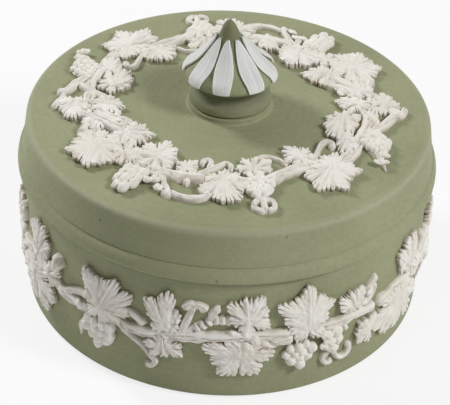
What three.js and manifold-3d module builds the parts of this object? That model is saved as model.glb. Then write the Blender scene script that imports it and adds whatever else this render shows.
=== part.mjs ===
// A round stoneware box with a lift-off lid. A tall knob with eight white petals stands on the lid,
// and white vine leaves, grapes and tendrils lie on the lid and round the wall.
// Millimetres, +Z up. The origin is the middle of the foot, on the surface that the box stands on.
import * as THREE from 'three';
import { mergeVertices } from 'three/addons/utils/BufferGeometryUtils.js';
import Module from 'manifold-3d';

const wasm = await Module();
wasm.setup();

// Bowl
const bowlRadius = 60.1; // outside of the wall
const bowlHeight = 42.5; // foot to the shoulder that the lid rests on
const bowlWall = 5.6;
const bowlFloor = 4.2;
const bowlCorner = 7; // inside radius between floor and wall
const footCornerOut = 3.4; // rounding of the outer foot edge, inwards and upwards
const footCornerUp = 1.7;
const footWidth = 7; // ring that the box stands on
const footRecess = 0.9; // hollow inside that ring
const footBevel = 1; // slope between the ring and the hollow

// Neck that locates the lid
const neckThickness = 2.4;
const neckHeight = 4.6;
const neckBevel = 0.6;
const neckClearance = 0.4; // round gap between neck and lid

// Lid
const lidRise = 16.5; // shoulder to the top edge
const lidInset = 0.9; // the top edge is this much inside the bowl wall
const lidEdgeRounding = 1.8;
const lidTopThickness = 3.8;
const lidCorner = 6; // inside radius under the top
const domeRise = 2.5;
const beadReach = 1.9; // how far the bead stands out of the bowl wall
const beadHeight = 1.9; // its widest line, over the shoulder
const creaseReach = 0.6; // crease where the bead ends, out of the bowl wall
const creaseHeight = 5.4;

// Knob
const seatMargin = 0.5; // raised seat round the foot of the knob
const seatRise = 1.5; // seat over the crown of the dome
const knobHeight = 26.1;
const knobFootRadius = 12.1;
const knobNeckRadius = 11;
const knobBulgeRadius = 13;
const knobTipRadius = 2.9;
const knobFootHeight = 3.1;
const knobNeckAt = 5.1;
const knobBulgeAt = 8.8;
const knobTipHeight = 5.3; // smooth cap over the points of the petals
const knobFootTaper = 0.96; // the foot narrows to this share where it meets the seat
const knobTipTaper = 0.72; // the cap narrows to this share before it closes
const knobCone = [
  [0.26, 0.3], // shares of the way in and up from the bulge to the cap
  [0.6, 0.58],
  [0.9, 0.92],
];

// Petals
const petalCount = 8;
const petalTurn = -99; // degrees, the petal that faces the front
const petalWidth = 5.8;
const petalWidestAt = 0.38; // share of its length
const petalEndWidth = 4.7; // at the square-cut lower end
const petalPointWidth = 1.2;
const petalTaper = 1.3; // how late it narrows to its point
const petalThickness = 0.9;
const petalLowEnd = 4.9; // where the ends lie, in points of the knob's outline
const petalHighEnd = 8.95;

// Relief
const reliefGap = 0.3; // seam of slip between a relief piece and the ground under it
const pieceGap = 0.3; // between neighbouring relief pieces
const leafRim = 1.7; // heights of a leaf over the ground: rim, lobes and middle
const leafLobe = 2.6;
const leafMiddle = 2.1;
const vineWidth = 3;
const vineTall = 2.2; // height of the vine in the open
const vineLow = 1.2; // height where it runs under a leaf or a bunch
const tendrilHeight = 1.6;
const stripCrown = 0.6; // share of its width that a vine or tendril keeps on top
const grapeRadius = 1.8;
const grapePitch = 1.55; // distance between grapes in a row, in grape radii
const grapeRowPitch = 0.9; // distance between rows, as a share of that
const bunchCore = 0.7; // height of the core under the grapes, in grape radii
const wreathEdgeMargin = 4.7; // bare ring at the edge of the lid
const wreathSeatMargin = 12.9; // bare ring round the seat of the knob
const friezeTopMargin = 3.5; // bare wall under the lid
const friezeFootMargin = 8; // bare wall over the foot
const wreathRepeats = 2;
const friezeRepeats = 3;

// Facets
const roundFacets = 48;
const knobFacets = 20;
const knobRings = 17;
const leafFacets = 16;
const finestDetail = 0.08; // slivers left by the cuts, smaller than this, are smoothed away

// Worked-out places
const bowlInside = bowlRadius - bowlWall;
const neckRadius = bowlInside + neckThickness;
const lidInside = neckRadius + neckClearance;
const lidTopRadius = bowlRadius - lidInset;
const seatRadius = knobFootRadius + seatMargin;
const seatHeight = lidRise + domeRise + seatRise;
const degree = Math.PI / 180;

function domeHeight(radius) {
  return lidRise + domeRise * (1 - (radius / lidTopRadius) ** 2);
}

const material = (color, roughness) =>
  new THREE.MeshStandardMaterial({ color, roughness, metalness: 0 });
const greenStoneware = material(0x898c6d, 0.85);
const whiteRelief = material(0xe0dbd5, 0.8);
const whitePetal = material(0xcdcdc8, 0.8);

// Solids in and out of the boolean library
function toSolid(geometry) {
  const bare = geometry.clone();
  bare.deleteAttribute('normal');
  bare.deleteAttribute('uv');
  const merged = mergeVertices(bare, 1e-4);
  return new wasm.Manifold(
    new wasm.Mesh({
      numProp: 3,
      vertProperties: new Float32Array(merged.attributes.position.array),
      triVerts: new Uint32Array(merged.index.array),
    }),
  );
}

function toGeometry(solid) {
  const { vertProperties, triVerts } = solid.asOriginal().simplify(finestDetail).getMesh();
  const geometry = new THREE.BufferGeometry();
  geometry.setAttribute('position', new THREE.BufferAttribute(vertProperties, 3));
  geometry.setIndex(new THREE.BufferAttribute(triVerts, 1));
  const faceted = geometry.toNonIndexed();
  faceted.computeVertexNormals();
  return faceted;
}

function reshape(geometry, move) {
  const places = geometry.getAttribute('position');
  const point = new THREE.Vector3();
  for (let i = 0; i < places.count; i++) {
    point.fromBufferAttribute(places, i);
    const moved = move(point);
    places.setXYZ(i, moved.x, moved.y, moved.z);
  }
  geometry.computeVertexNormals();
  return geometry;
}

function turned(outline, facets) {
  const points = outline.map(([radius, height]) => new THREE.Vector2(radius, height));
  return new THREE.LatheGeometry(points, facets).rotateX(Math.PI / 2);
}

// A quarter-round run of points, from one angle to another about a centre
function arc([centreRadius, centreHeight], [reach, rise], from, to, steps) {
  return Array.from({ length: steps + 1 }, (_, i) => {
    const angle = (from + ((to - from) * i) / steps) * degree;
    return [centreRadius + reach * Math.cos(angle), centreHeight + rise * Math.sin(angle)];
  });
}

function bowlGeometry() {
  const footInside = bowlRadius - footCornerOut - footWidth;
  return turned(
    [
      [0, footRecess],
      [footInside - footBevel, footRecess],
      [footInside, 0],
      ...arc([bowlRadius - footCornerOut, footCornerUp], [footCornerOut, footCornerUp], -90, 0, 2),
      [bowlRadius, bowlHeight],
      [neckRadius, bowlHeight],
      [neckRadius, bowlHeight + neckHeight - neckBevel],
      [neckRadius - neckBevel, bowlHeight + neckHeight],
      [bowlInside, bowlHeight + neckHeight],
      ...arc([bowlInside - bowlCorner, bowlFloor + bowlCorner], [bowlCorner, bowlCorner], 0, -90, 3),
      [0, bowlFloor],
    ],
    roundFacets,
  );
}

// The lid's own heights are measured from the shoulder of the bowl.
function lidGeometry() {
  const underside = (radius) => domeHeight(radius) - lidTopThickness;
  const cornerAt = lidInside - lidCorner;
  const domeSteps = [0.3, 0.65];
  const domeEnd = lidTopRadius - lidEdgeRounding;
  return turned(
    [
      [0, underside(0)],
      [cornerAt / 2, underside(cornerAt / 2)],
      ...arc([cornerAt, underside(cornerAt) - lidCorner], [lidCorner, lidCorner], 90, 0, 3),
      [lidInside, 0],
      [bowlRadius + beadReach / 3, 0],
      [bowlRadius + beadReach * 0.8, beadHeight * 0.4],
      [bowlRadius + beadReach, beadHeight],
      [bowlRadius + beadReach * 0.85, (beadHeight + creaseHeight) / 2],
      [bowlRadius + creaseReach, creaseHeight],
      ...arc([domeEnd, lidRise - lidEdgeRounding], [lidEdgeRounding, lidEdgeRounding], 0, 60, 2),
      [domeEnd, domeHeight(domeEnd)],
      ...domeSteps
        .map((share) => domeEnd + (seatRadius - domeEnd) * share)
        .map((radius) => [radius, domeHeight(radius)]),
      [seatRadius, domeHeight(seatRadius)],
      [seatRadius, seatHeight],
      [0, seatHeight],
    ],
    roundFacets,
  );
}

// Outline of the knob, heights from its seat. The petals lie on the same curve.
const knobTipAt = knobHeight - knobTipHeight;
const knobCurve = new THREE.SplineCurve(
  [
    [knobFootRadius * knobFootTaper, 0],
    [knobFootRadius, knobFootHeight * 0.3],
    [knobFootRadius, knobFootHeight * 0.85],
    [knobNeckRadius, knobNeckAt],
    [(knobNeckRadius + knobBulgeRadius) / 2, (knobNeckAt + knobBulgeAt) / 2],
    [knobBulgeRadius, knobBulgeAt],
    ...knobCone.map(([inwards, upwards]) => [
      THREE.MathUtils.lerp(knobBulgeRadius, knobTipRadius, inwards),
      THREE.MathUtils.lerp(knobBulgeAt, knobTipAt, upwards),
    ]),
    [knobTipRadius, knobTipAt],
    [knobTipRadius * knobTipTaper, knobHeight - knobTipRadius / 2],
    [0, knobHeight],
  ].map(([radius, height]) => new THREE.Vector2(radius, height)),
);

function knobGeometry() {
  const outline = knobCurve.getPoints(knobRings).map(({ x, y }) => [Math.max(x, 0), y]);
  return turned([[0, 0], ...outline.slice(0, -1), [0, knobHeight]], knobFacets);
}

function petalWidthAt(along) {
  if (along < petalWidestAt) {
    const swell = Math.sin(((along / petalWidestAt) * Math.PI) / 2);
    return THREE.MathUtils.lerp(petalEndWidth, petalWidth, swell);
  }
  const narrowing = ((along - petalWidestAt) / (1 - petalWidestAt)) ** petalTaper;
  return THREE.MathUtils.lerp(petalWidth, petalPointWidth, narrowing);
}

// A strap that follows the knob from just under the bulge up to the cap
function petalGeometry() {
  const spans = knobCurve.points.length - 1;
  const blank = new THREE.BoxGeometry(1, 1, 1, 2, 1, 6);
  return reshape(blank, ({ x, y, z }) => {
    const along = z + 0.5;
    const place = THREE.MathUtils.lerp(petalLowEnd, petalHighEnd, along) / spans;
    const onKnob = knobCurve.getPoint(place);
    const slope = knobCurve.getTangent(place);
    const crown = y > 0 ? petalThickness * (1 - 0.8 * x * x) : 0;
    const lift = reliefGap + crown;
    const radius = onKnob.x + slope.y * lift;
    const height = onKnob.y - slope.x * lift;
    const room = (onKnob.x * 2 * Math.PI) / petalCount - pieceGap;
    const angle = (-x * Math.min(petalWidthAt(along), room)) / radius;
    return new THREE.Vector3(radius * Math.cos(angle), radius * Math.sin(angle), height);
  });
}

// A band is a ground for relief. Places on it are an angle in degrees and an offset from its middle
// line, in steps of the drawing. The drawing is scaled to the band that the sizes leave for it.
// flat() unrolls a place to x to the right and y outwards or upwards, and on() puts it on the ground.
const wreathSteps = 29; // across the band
const wreathInner = seatRadius + wreathSeatMargin;
const wreathOuter = lidTopRadius - wreathEdgeMargin;
const wreath = {
  scale: (wreathOuter - wreathInner) / wreathSteps,
  flat(angle, offset) {
    const radius = (wreathInner + wreathOuter) / 2 + offset * this.scale;
    return new THREE.Vector2(radius * Math.cos(angle * degree), radius * Math.sin(angle * degree));
  },
  up: (angle) => new THREE.Vector2(Math.cos(angle * degree), Math.sin(angle * degree)),
  on: (x, y, lift) => new THREE.Vector3(x, y, domeHeight(Math.hypot(x, y)) + lift),
};

const friezeSteps = 31;
const frieze = {
  scale: (bowlHeight - friezeTopMargin - friezeFootMargin) / friezeSteps,
  flat(angle, offset) {
    const middle = (friezeFootMargin + bowlHeight - friezeTopMargin) / 2;
    return new THREE.Vector2(angle * degree * bowlRadius, middle + offset * this.scale);
  },
  up: () => new THREE.Vector2(0, 1),
  on(x, y, lift) {
    const radius = bowlRadius + lift;
    const angle = x / bowlRadius;
    return new THREE.Vector3(radius * Math.cos(angle), radius * Math.sin(angle), y);
  },
};

// Puts a piece's own x and y on the band: y runs along its heading, clockwise from up.
function placer(band, { at, heading }) {
  const centre = band.flat(...at);
  const forward = band.up(at[0]).rotateAround(new THREE.Vector2(), -heading * degree);
  return (x, y, lift) =>
    band.on(centre.x + x * forward.y + y * forward.x, centre.y - x * forward.x + y * forward.y, lift);
}

// Reach of a vine leaf's rim from its middle, from the tip round to the stalk
const leafOutline = [1, 0.8, 0.72, 0.97, 0.72, 0.72, 0.86, 0.62, 0.36];
const leafLobeAt = 0.58; // where a leaf is highest, as a share of its reach

// A piece that is grown cuts its neighbours, and reaches this far under the ground to do so.
const cutDepth = 1;
const slantedGrowth = 1.5; // a rim that lies slanted has to grow by more than the gap

function leafSolid(band, leaf, grow) {
  const put = placer(band, leaf);
  const floor = grow ? -cutDepth : reliefGap;
  const outline = [
    [0, leafMiddle + grow],
    [leafLobeAt, leafLobe + grow],
    [1, leafRim + grow],
    [1, floor],
    [0, floor],
  ].map(([reach, lift]) => new THREE.Vector2(reach, lift));
  const blank = new THREE.LatheGeometry(outline, leafFacets);
  return toSolid(
    reshape(blank, ({ x, y, z }) => {
      const step = Math.round((Math.abs(Math.atan2(x, z)) / Math.PI) * (leafFacets / 2));
      const reach = leafOutline[step] * (leaf.size / 2) * band.scale + grow * slantedGrowth;
      return put(x * reach, z * reach, y);
    }),
  );
}

// A bunch hangs along its heading in rows of grapes on a low core.
function bunchSolid(band, bunch, grow) {
  const put = placer(band, bunch);
  const rows = bunch.rows;
  const pitch = grapeRadius * grapePitch;
  const rowPitch = pitch * grapeRowPitch;
  const ball = ([x, y], [across, along, tall], twist) =>
    toSolid(
      reshape(new THREE.SphereGeometry(1, 5, 3).rotateX(Math.PI / 2).rotateZ(twist), (p) =>
        put(
          x + p.x * (across + grow),
          y + p.y * (along + grow),
          reliefGap + tall + p.z * (tall + grow),
        ),
      ),
    );
  const middle = ((rows.length - 1) * rowPitch) / 2;
  const grapes = rows.flatMap((count, row) =>
    Array.from({ length: count }, (_, i) => {
      const place = [(i - (count - 1) / 2) * pitch, row * rowPitch - middle];
      return ball(place, [grapeRadius, grapeRadius, grapeRadius], 1.3 * row + 0.7 * i);
    }),
  );
  const beyond = grapeRadius * bunchCore; // how far the core reaches past the outer grapes' middles
  const coreAcross = ((Math.max(...rows) - 1) * pitch) / 2 + beyond;
  const core = ball([0, 0], [coreAcross, middle + beyond, grapeRadius * bunchCore], 0.4);
  return wasm.Manifold.union([core, ...grapes]);
}

// A low rounded strip along a curve through flat points
function stripSolid(band, points, steps, widthAt, heightAt, grow) {
  const curve = new THREE.CatmullRomCurve3(points.map(({ x, y }) => new THREE.Vector3(x, y, 0)));
  const blank = new THREE.BoxGeometry(1, 1, 1, 1, 1, steps);
  return toSolid(
    reshape(blank, ({ x, y, z }) => {
      const along = z + 0.5;
      const place = curve.getPointAt(along);
      const way = curve.getTangentAt(along);
      const overrun = grow * (along < 1e-6 ? -1 : along > 1 - 1e-6 ? 1 : 0);
      const width = widthAt(along) + 2 * grow;
      const across = x * (y > 0 ? width * stripCrown : width + 4 * grow);
      const foot = grow ? -cutDepth : reliefGap;
      const lift = y > 0 ? heightAt(along) + grow : foot;
      return band.on(
        place.x + way.x * overrun - way.y * across,
        place.y + way.y * overrun + way.x * across,
        lift,
      );
    }),
  );
}

// A tendril sets off from a place on a heading, clockwise from up, and curls as it goes.
function tendrilSolid(band, { at, heading, length, curl, width }, grow) {
  const steps = Math.max(3, Math.round(length / 2.4));
  const place = band.flat(...at);
  const up = band.up(at[0]);
  const points = [place.clone()];
  for (let i = 1; i <= steps; i++) {
    const turn = heading + curl * (i / steps) ** 1.4;
    const way = up.clone().rotateAround(new THREE.Vector2(), -turn * degree);
    place.addScaledVector(way, (length * band.scale) / steps);
    points.push(place.clone());
  }
  const taper = (along) => width * band.scale * (1 - 0.25 * Math.sin(Math.PI * along));
  return stripSolid(band, points, steps, taper, () => tendrilHeight, grow);
}

// A shoot is a strip of one width through given places.
function shootSolid(band, { through, width }, height, grow) {
  const points = through.map((place) => band.flat(...place));
  const steps = Math.max(3, 2 * (points.length - 1));
  return stripSolid(band, points, steps, () => width * band.scale, () => height, grow);
}

function vineSolid(band, sprig, grow) {
  const cover = [...sprig.leaves, ...sprig.bunches].map(({ at, size, rows }) => ({
    place: band.flat(...at),
    reach: ((size ?? rows.length * grapeRadius * 1.6) / 2) * band.scale + 1,
  }));
  const points = sprig.vine.map((place) => band.flat(...place));
  const curve = new THREE.CatmullRomCurve3(points.map(({ x, y }) => new THREE.Vector3(x, y, 0)));
  const height = (along) => {
    const { x, y } = curve.getPointAt(along);
    const under = cover.some(({ place, reach }) => Math.hypot(place.x - x, place.y - y) < reach);
    return under ? vineLow : vineTall;
  };
  const steps = Math.round(sprig.vine.length * 1.5);
  const main = stripSolid(band, points, steps, () => vineWidth, height, grow);
  const smallLeaves = sprig.smallLeaves.flatMap((leaf) => [
    leafSolid(band, leaf, grow),
    shootSolid(band, { through: [leaf.root, leaf.at], width: leaf.stem }, vineLow, grow),
  ]);
  const shoots = sprig.shoots.map((shoot) => shootSolid(band, shoot, tendrilHeight, grow));
  const tendrils = sprig.tendrils.map((tendril) => tendrilSolid(band, tendril, grow));
  return wasm.Manifold.union([main, ...smallLeaves, ...shoots, ...tendrils]);
}

// One repeat of the wreath on the lid. Offset 0 is the middle of the band, and + is outwards.
const wreathSprig = {
  leaves: [
    { at: [187, -4.4], size: 13, heading: 180 },
    { at: [213.5, 5.6], size: 18.5, heading: 0 },
    { at: [213.7, -9], size: 13.5, heading: 210 },
    { at: [236, -5], size: 16.5, heading: 190 },
    { at: [268.5, 1], size: 15.5, heading: 0 },
    { at: [313, 3.6], size: 19, heading: 55 },
    { at: [345, -6.4], size: 15.5, heading: 172 },
  ],
  bunches: [
    { at: [236, 6.2], rows: [2, 3, 2, 1], heading: -22 },
    { at: [282.5, 1.2], rows: [2, 3, 1], heading: 0 },
    { at: [342, 6.4], rows: [2, 3, 2, 1], heading: 74 },
  ],
  smallLeaves: [
    { at: [185, 6.8], size: 12, heading: -50, root: [184, 2.4], stem: 2 },
    { at: [201, -1.8], size: 11, heading: -75, root: [201, 2], stem: 2 },
    { at: [252, -5.2], size: 8, heading: 180, root: [252, 0], stem: 2 },
    { at: [282.5, -7.6], size: 10.5, heading: -95, root: [284, 0], stem: 1.8 },
    { at: [307.4, -9], size: 11.5, heading: 110, root: [310, -2], stem: 2 },
  ],
  shoots: [
    { through: [[219, -2.6], [226, -2.8], [231, -2], [236, 0.4]], width: 1.8 },
    { through: [[243, 0], [247.5, 4.2], [250.4, 7.2], [250.2, 9.4]], width: 2.2 },
    { through: [[242.5, 1], [243.4, 5.4]], width: 2 },
    { through: [[251, 7.2], [255, 8], [259, 8], [263, 6.6], [266, 4.4]], width: 2.1 },
    { through: [[254.6, 0], [255.3, 3]], width: 1.8 },
    { through: [[256, -1], [262, -4.8], [266, -7], [269.2, -8.6], [272, -7.4]], width: 1.7 },
    { through: [[261.5, -5.2], [262.4, -8], [260, -9.3], [257.8, -8]], width: 1.5 },
    { through: [[282.6, 0.6], [282.2, 10.4]], width: 1.6 },
    { through: [[284, -9.6], [290, -10.4], [295, -9]], width: 1.2 },
    { through: [[310.3, -3], [318, -6.2], [325.3, -6.8], [329, -6], [327, -4]], width: 1.7 },
    { through: [[336, 2], [335.6, 6], [333, 9.4], [328, 12.2]], width: 2.2 },
  ],
  tendrils: [
    { at: [282.2, 10], heading: 80, length: 6.4, curl: 130, width: 1.7 },
    { at: [282.2, 10], heading: -80, length: 6.4, curl: -130, width: 1.7 },
    { at: [192, -2], heading: 190, length: 6, curl: 100, width: 1.6 },
  ],
  vine: [
    [176.3, 0.8],
    [187, 1.6],
    [196, 2.2],
    [205, 1.4],
    [216, 2.4],
    [227, 2],
    [238, 0.8],
    [250, 0.2],
    [262, -0.8],
    [273, -0.2],
    [284, 0.2],
    [292, -1.4],
    [301, -2.4],
    [310, -1.6],
    [320, 1.6],
    [329, 1.8],
    [340, 0.6],
    [349, 0.8],
    [355.4, 0.6],
  ],
};

// One repeat of the frieze on the wall. Offset 0 is the middle of the band, and + is upwards.
const friezeSprig = {
  leaves: [
    { at: [-149.5, -7], size: 18, heading: 175 },
    { at: [-121.7, 4.8], size: 17.5, heading: 0 },
    { at: [-104.8, 6], size: 14.5, heading: 2 },
    { at: [-84.2, -6], size: 18.5, heading: 180 },
    { at: [-66.8, 6.4], size: 20, heading: -4 },
  ],
  bunches: [
    { at: [-123.8, -9], rows: [4, 3, 2], heading: 180 },
    { at: [-67.2, -9], rows: [2, 3, 2, 1], heading: 172 },
  ],
  smallLeaves: [
    { at: [-149, 8], size: 14, heading: -10, root: [-148, 0], stem: 2.4 },
    { at: [-104, -5], size: 11, heading: 172, root: [-104, 0], stem: 2.4 },
    { at: [-83, 8], size: 13.5, heading: 2, root: [-82, 1], stem: 2.4 },
    { at: [-52.7, 5.4], size: 11, heading: -30, root: [-52, 0], stem: 2.2 },
  ],
  shoots: [
    { through: [[-144, -1], [-141, 4.6], [-138.3, 9.4]], width: 3.4 },
    { through: [[-137, -1.6], [-132, 1.8], [-126, 2]], width: 2.4 },
    { through: [[-127, -4], [-130.4, -9.5], [-131.3, -14.4]], width: 2.2 },
    { through: [[-118, 2.8], [-114, 3.4], [-109.6, 0.6]], width: 2.4 },
    {
      through: [[-117, -3], [-111.4, -6.6], [-108.8, -9.4], [-106.9, -11.6], [-108, -13.6]],
      width: 1.8,
    },
    { through: [[-100.5, -1], [-98.6, 5], [-97, 10]], width: 2 },
    { through: [[-97, 9.8], [-98.4, 10.9], [-99.5, 9.4]], width: 2 },
    { through: [[-97, 9.8], [-95.3, 11], [-93.9, 9.4]], width: 2.2 },
    { through: [[-98, -0.6], [-95.8, 4.6]], width: 2.2 },
    { through: [[-93.6, 0], [-91.8, 4], [-91.2, 8], [-90.5, 10.2]], width: 2.4 },
    { through: [[-77, -0.8], [-73.5, -1.8], [-70, -1.8]], width: 3 },
    { through: [[-62, -1], [-59.6, -5.4], [-58, -9.4]], width: 5 },
    { through: [[-58.4, -9.4], [-60.8, -11.8], [-60.6, -14], [-59.3, -14.8]], width: 1.7 },
    {
      through: [[-57.8, -9.4], [-57, -13], [-55, -14.6], [-52.9, -13.6], [-52.6, -11]],
      width: 1.8,
    },
    { through: [[-56, -1], [-53.9, -4.6]], width: 1.6 },
    { through: [[-48, 0], [-46, 5], [-42.8, 8.8]], width: 3.4 },
  ],
  tendrils: [],
  vine: [
    [-163.4, -1],
    [-155, 0],
    [-146, -1.4],
    [-137, -2],
    [-129, -2.2],
    [-121, -1.4],
    [-112, -2],
    [-104, -1],
    [-95, 0],
    [-87, 0.8],
    [-80, 0.4],
    [-73, 0.4],
    [-65, -0.6],
    [-57, -0.4],
    [-50, 0],
    [-44.1, -1],
  ],
};

function mesh(name, geometry, look) {
  const made = new THREE.Mesh(geometry, look);
  made.name = name;
  return made;
}

// Each piece is trimmed where the vine runs under it and where an earlier piece lies.
function trimmed(solid, cutters) {
  const left = cutters.reduce((rest, cutter) => rest.subtract(cutter), solid);
  const bodies = left.decompose();
  return bodies.reduce((best, body) => (body.volume() > best.volume() ? body : best));
}

function sprigMeshes(name, band, sprig) {
  const vine = vineSolid(band, sprig, 0);
  const cutters = [vineSolid(band, sprig, pieceGap)];
  const made = [[`${name}_vine`, vine]];
  const add = (kind, entries, solidOf) =>
    entries.forEach((entry, i) => {
      made.push([`${name}_${kind}_${i + 1}`, trimmed(solidOf(band, entry, 0), cutters)]);
      cutters.push(solidOf(band, entry, pieceGap));
    });
  add('leaf', sprig.leaves, leafSolid);
  add('grapes', sprig.bunches, bunchSolid);
  return made.map(([title, solid]) => [title, toGeometry(solid)]);
}

function repeated(name, band, sprig, repeats) {
  const all = new THREE.Group();
  for (let turn = 0; turn < repeats; turn++) {
    const group = new THREE.Group();
    group.rotation.z = (turn * 2 * Math.PI) / repeats;
    sprigMeshes(`${name}_${turn + 1}`, band, sprig).forEach(([title, geometry]) =>
      group.add(mesh(title, geometry, whiteRelief)),
    );
    all.add(group);
  }
  return all;
}

const knob = new THREE.Group();
knob.position.z = seatHeight;
knob.add(mesh('knob', knobGeometry(), greenStoneware));
for (let i = 0; i < petalCount; i++) {
  const petal = mesh(`knob_petal_${i + 1}`, petalGeometry(), whitePetal);
  petal.rotation.z = (petalTurn + (i * 360) / petalCount) * degree;
  knob.add(petal);
}

const lid = new THREE.Group();
lid.position.z = bowlHeight;
lid.add(mesh('lid', lidGeometry(), greenStoneware), knob);
lid.add(repeated('wreath', wreath, wreathSprig, wreathRepeats));

const box = new THREE.Group();
box.add(mesh('bowl', bowlGeometry(), greenStoneware), lid);
box.add(repeated('frieze', frieze, friezeSprig, friezeRepeats));

export default box;
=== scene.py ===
import random
from math import atan2, cos, exp, hypot, pi, radians, sin, sqrt

import bmesh
import bpy
from mathutils import Matrix, Vector, noise


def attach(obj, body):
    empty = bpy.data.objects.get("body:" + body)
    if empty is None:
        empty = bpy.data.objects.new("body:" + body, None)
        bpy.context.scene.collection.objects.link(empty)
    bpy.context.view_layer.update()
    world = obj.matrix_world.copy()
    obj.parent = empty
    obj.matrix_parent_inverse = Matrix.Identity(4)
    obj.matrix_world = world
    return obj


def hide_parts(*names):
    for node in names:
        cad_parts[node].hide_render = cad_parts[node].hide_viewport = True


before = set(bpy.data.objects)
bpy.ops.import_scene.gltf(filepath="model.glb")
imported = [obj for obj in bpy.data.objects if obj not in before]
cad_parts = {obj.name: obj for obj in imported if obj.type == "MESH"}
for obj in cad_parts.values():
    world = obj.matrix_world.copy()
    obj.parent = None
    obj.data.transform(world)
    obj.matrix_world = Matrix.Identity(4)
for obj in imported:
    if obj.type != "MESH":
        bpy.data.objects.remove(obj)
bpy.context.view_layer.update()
mm = 0.001  # pieces are drawn in millimetres and become metres when they are finished


# fitted to the outline of the box in the photograph
photoCamera = {
    "place": (0, -0.392755, 0.315419),
    "turn": (53.4917, -2.0296, 1.5095),  # degrees
    "lens": 128,
    "sensor": 36,
    "nearest": 0.01,
}

camera = bpy.data.objects.new("camera", bpy.data.cameras.new("camera"))
camera.location = photoCamera["place"]
camera.rotation_euler = [radians(turn) for turn in photoCamera["turn"]]
camera.data.lens = photoCamera["lens"]
camera.data.sensor_width = photoCamera["sensor"]
camera.data.clip_start = photoCamera["nearest"]
scene = bpy.context.scene
scene.collection.objects.link(camera)
scene.camera = camera
scene.view_settings.view_transform = "Standard"


def addNode(tree, kind, inputs=None, **settings):
    node = tree.nodes.new(kind)
    for name, value in settings.items():
        setattr(node, name, value)
    for socket, value in (inputs or {}).items():
        if isinstance(value, bpy.types.NodeSocket):
            tree.links.new(value, node.inputs[socket])
        else:
            node.inputs[socket].default_value = value
    return node


def newTree(name):
    material = bpy.data.materials.new(name)
    material.use_nodes = True
    material.node_tree.nodes.clear()
    return material, material.node_tree


def mixed(tree, factor, first, second):
    return addNode(tree, "ShaderNodeMix", {0: factor, 6: first, 7: second}, data_type="RGBA").outputs[2]


def ranged(tree, value, low, high, toLow=0.0, toHigh=1.0):
    node = addNode(tree, "ShaderNodeMapRange", {"Value": value, "From Min": low, "From Max": high,
                                                "To Min": toLow, "To Max": toHigh})
    return node.outputs["Result"]


def sums(tree, operation, first, second):
    return addNode(tree, "ShaderNodeMath", {0: first, 1: second}, operation=operation).outputs[0]


def noiseOf(tree, where, scale, detail=2.0, rough=0.5):
    return addNode(tree, "ShaderNodeTexNoise",
                   {"Vector": where, "Scale": scale, "Detail": detail, "Roughness": rough}).outputs["Fac"]


# 1 in what the camera sees, and 0 in what only lights the box
def cameraSees(tree):
    rays = addNode(tree, "ShaderNodeLightPath").outputs
    return sums(tree, "MAXIMUM", rays["Is Camera Ray"],
                sums(tree, "MAXIMUM", rays["Is Glossy Ray"], rays["Is Transmission Ray"]))


studio = {
    "floorSize": 6,
    "floorColour": (0.9, 0.89, 0.91, 1),  # as the camera sees it
    "floorBounce": (0.9, 0.9, 0.9, 1),  # as it lights the box
    "floorGlow": 0.8,  # the share of plain white in what it sees
    "skyColour": (0.98, 0.98, 0.96, 1),
    "skyStrength": 0.22,
    "aimHeight": 0.05,  # that the lamps face
    "lamps": [  # name, turn and rise in degrees, distance, size, watts
        ("rightLamp", -28, 40, 0.9, 0.24, 4.5),
        ("backLamp", 147, 34, 0.9, 0.22, 5.0),
    ],
}

world = bpy.data.worlds.new("studio")
world.use_nodes = True
scene.world = world
tree = world.node_tree
tree.nodes.clear()
seen = cameraSees(tree)
sky = addNode(tree, "ShaderNodeBackground", {"Color": studio["skyColour"], "Strength": studio["skyStrength"]})
white = addNode(tree, "ShaderNodeBackground", {"Color": (1, 1, 1, 1), "Strength": 1.0})
both = addNode(tree, "ShaderNodeMixShader", {0: seen, 1: sky.outputs[0], 2: white.outputs[0]})
addNode(tree, "ShaderNodeOutputWorld", {"Surface": both.outputs[0]})

for name, turn, rise, distance, size, watts in studio["lamps"]:
    lamp = bpy.data.lights.new(name, "AREA")
    lamp.shape = "DISK"
    lamp.size = size
    lamp.energy = watts
    holder = bpy.data.objects.new(name, lamp)
    flat = distance * cos(radians(rise))
    holder.location = (flat * cos(radians(turn)), flat * sin(radians(turn)),
                       studio["aimHeight"] + distance * sin(radians(rise)))
    aim = Vector((0, 0, studio["aimHeight"]))
    holder.rotation_euler = (aim - holder.location).to_track_quat("-Z", "Y").to_euler()
    scene.collection.objects.link(holder)

floorMaterial, tree = newTree("pale_floor")
seen = cameraSees(tree)
paper = addNode(tree, "ShaderNodeBsdfDiffuse",
                {"Color": mixed(tree, seen, studio["floorBounce"], studio["floorColour"])})
glow = addNode(tree, "ShaderNodeEmission", {"Color": (1, 1, 1, 1), "Strength": 1.0})
both = addNode(tree, "ShaderNodeMixShader", {0: sums(tree, "MULTIPLY", seen, studio["floorGlow"]),
                                             1: paper.outputs[0], 2: glow.outputs[0]})
addNode(tree, "ShaderNodeOutputMaterial", {"Surface": both.outputs[0]})

bm = bmesh.new()
bmesh.ops.create_grid(bm, x_segments=1, y_segments=1, size=studio["floorSize"] / 2)
floorMesh = bpy.data.meshes.new("floor")
bm.to_mesh(floorMesh)
bm.free()
floor = bpy.data.objects.new("floor", floorMesh)
floor.data.materials.append(floorMaterial)
scene.collection.objects.link(floor)
print("camera, floor and lamps are set")


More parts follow.
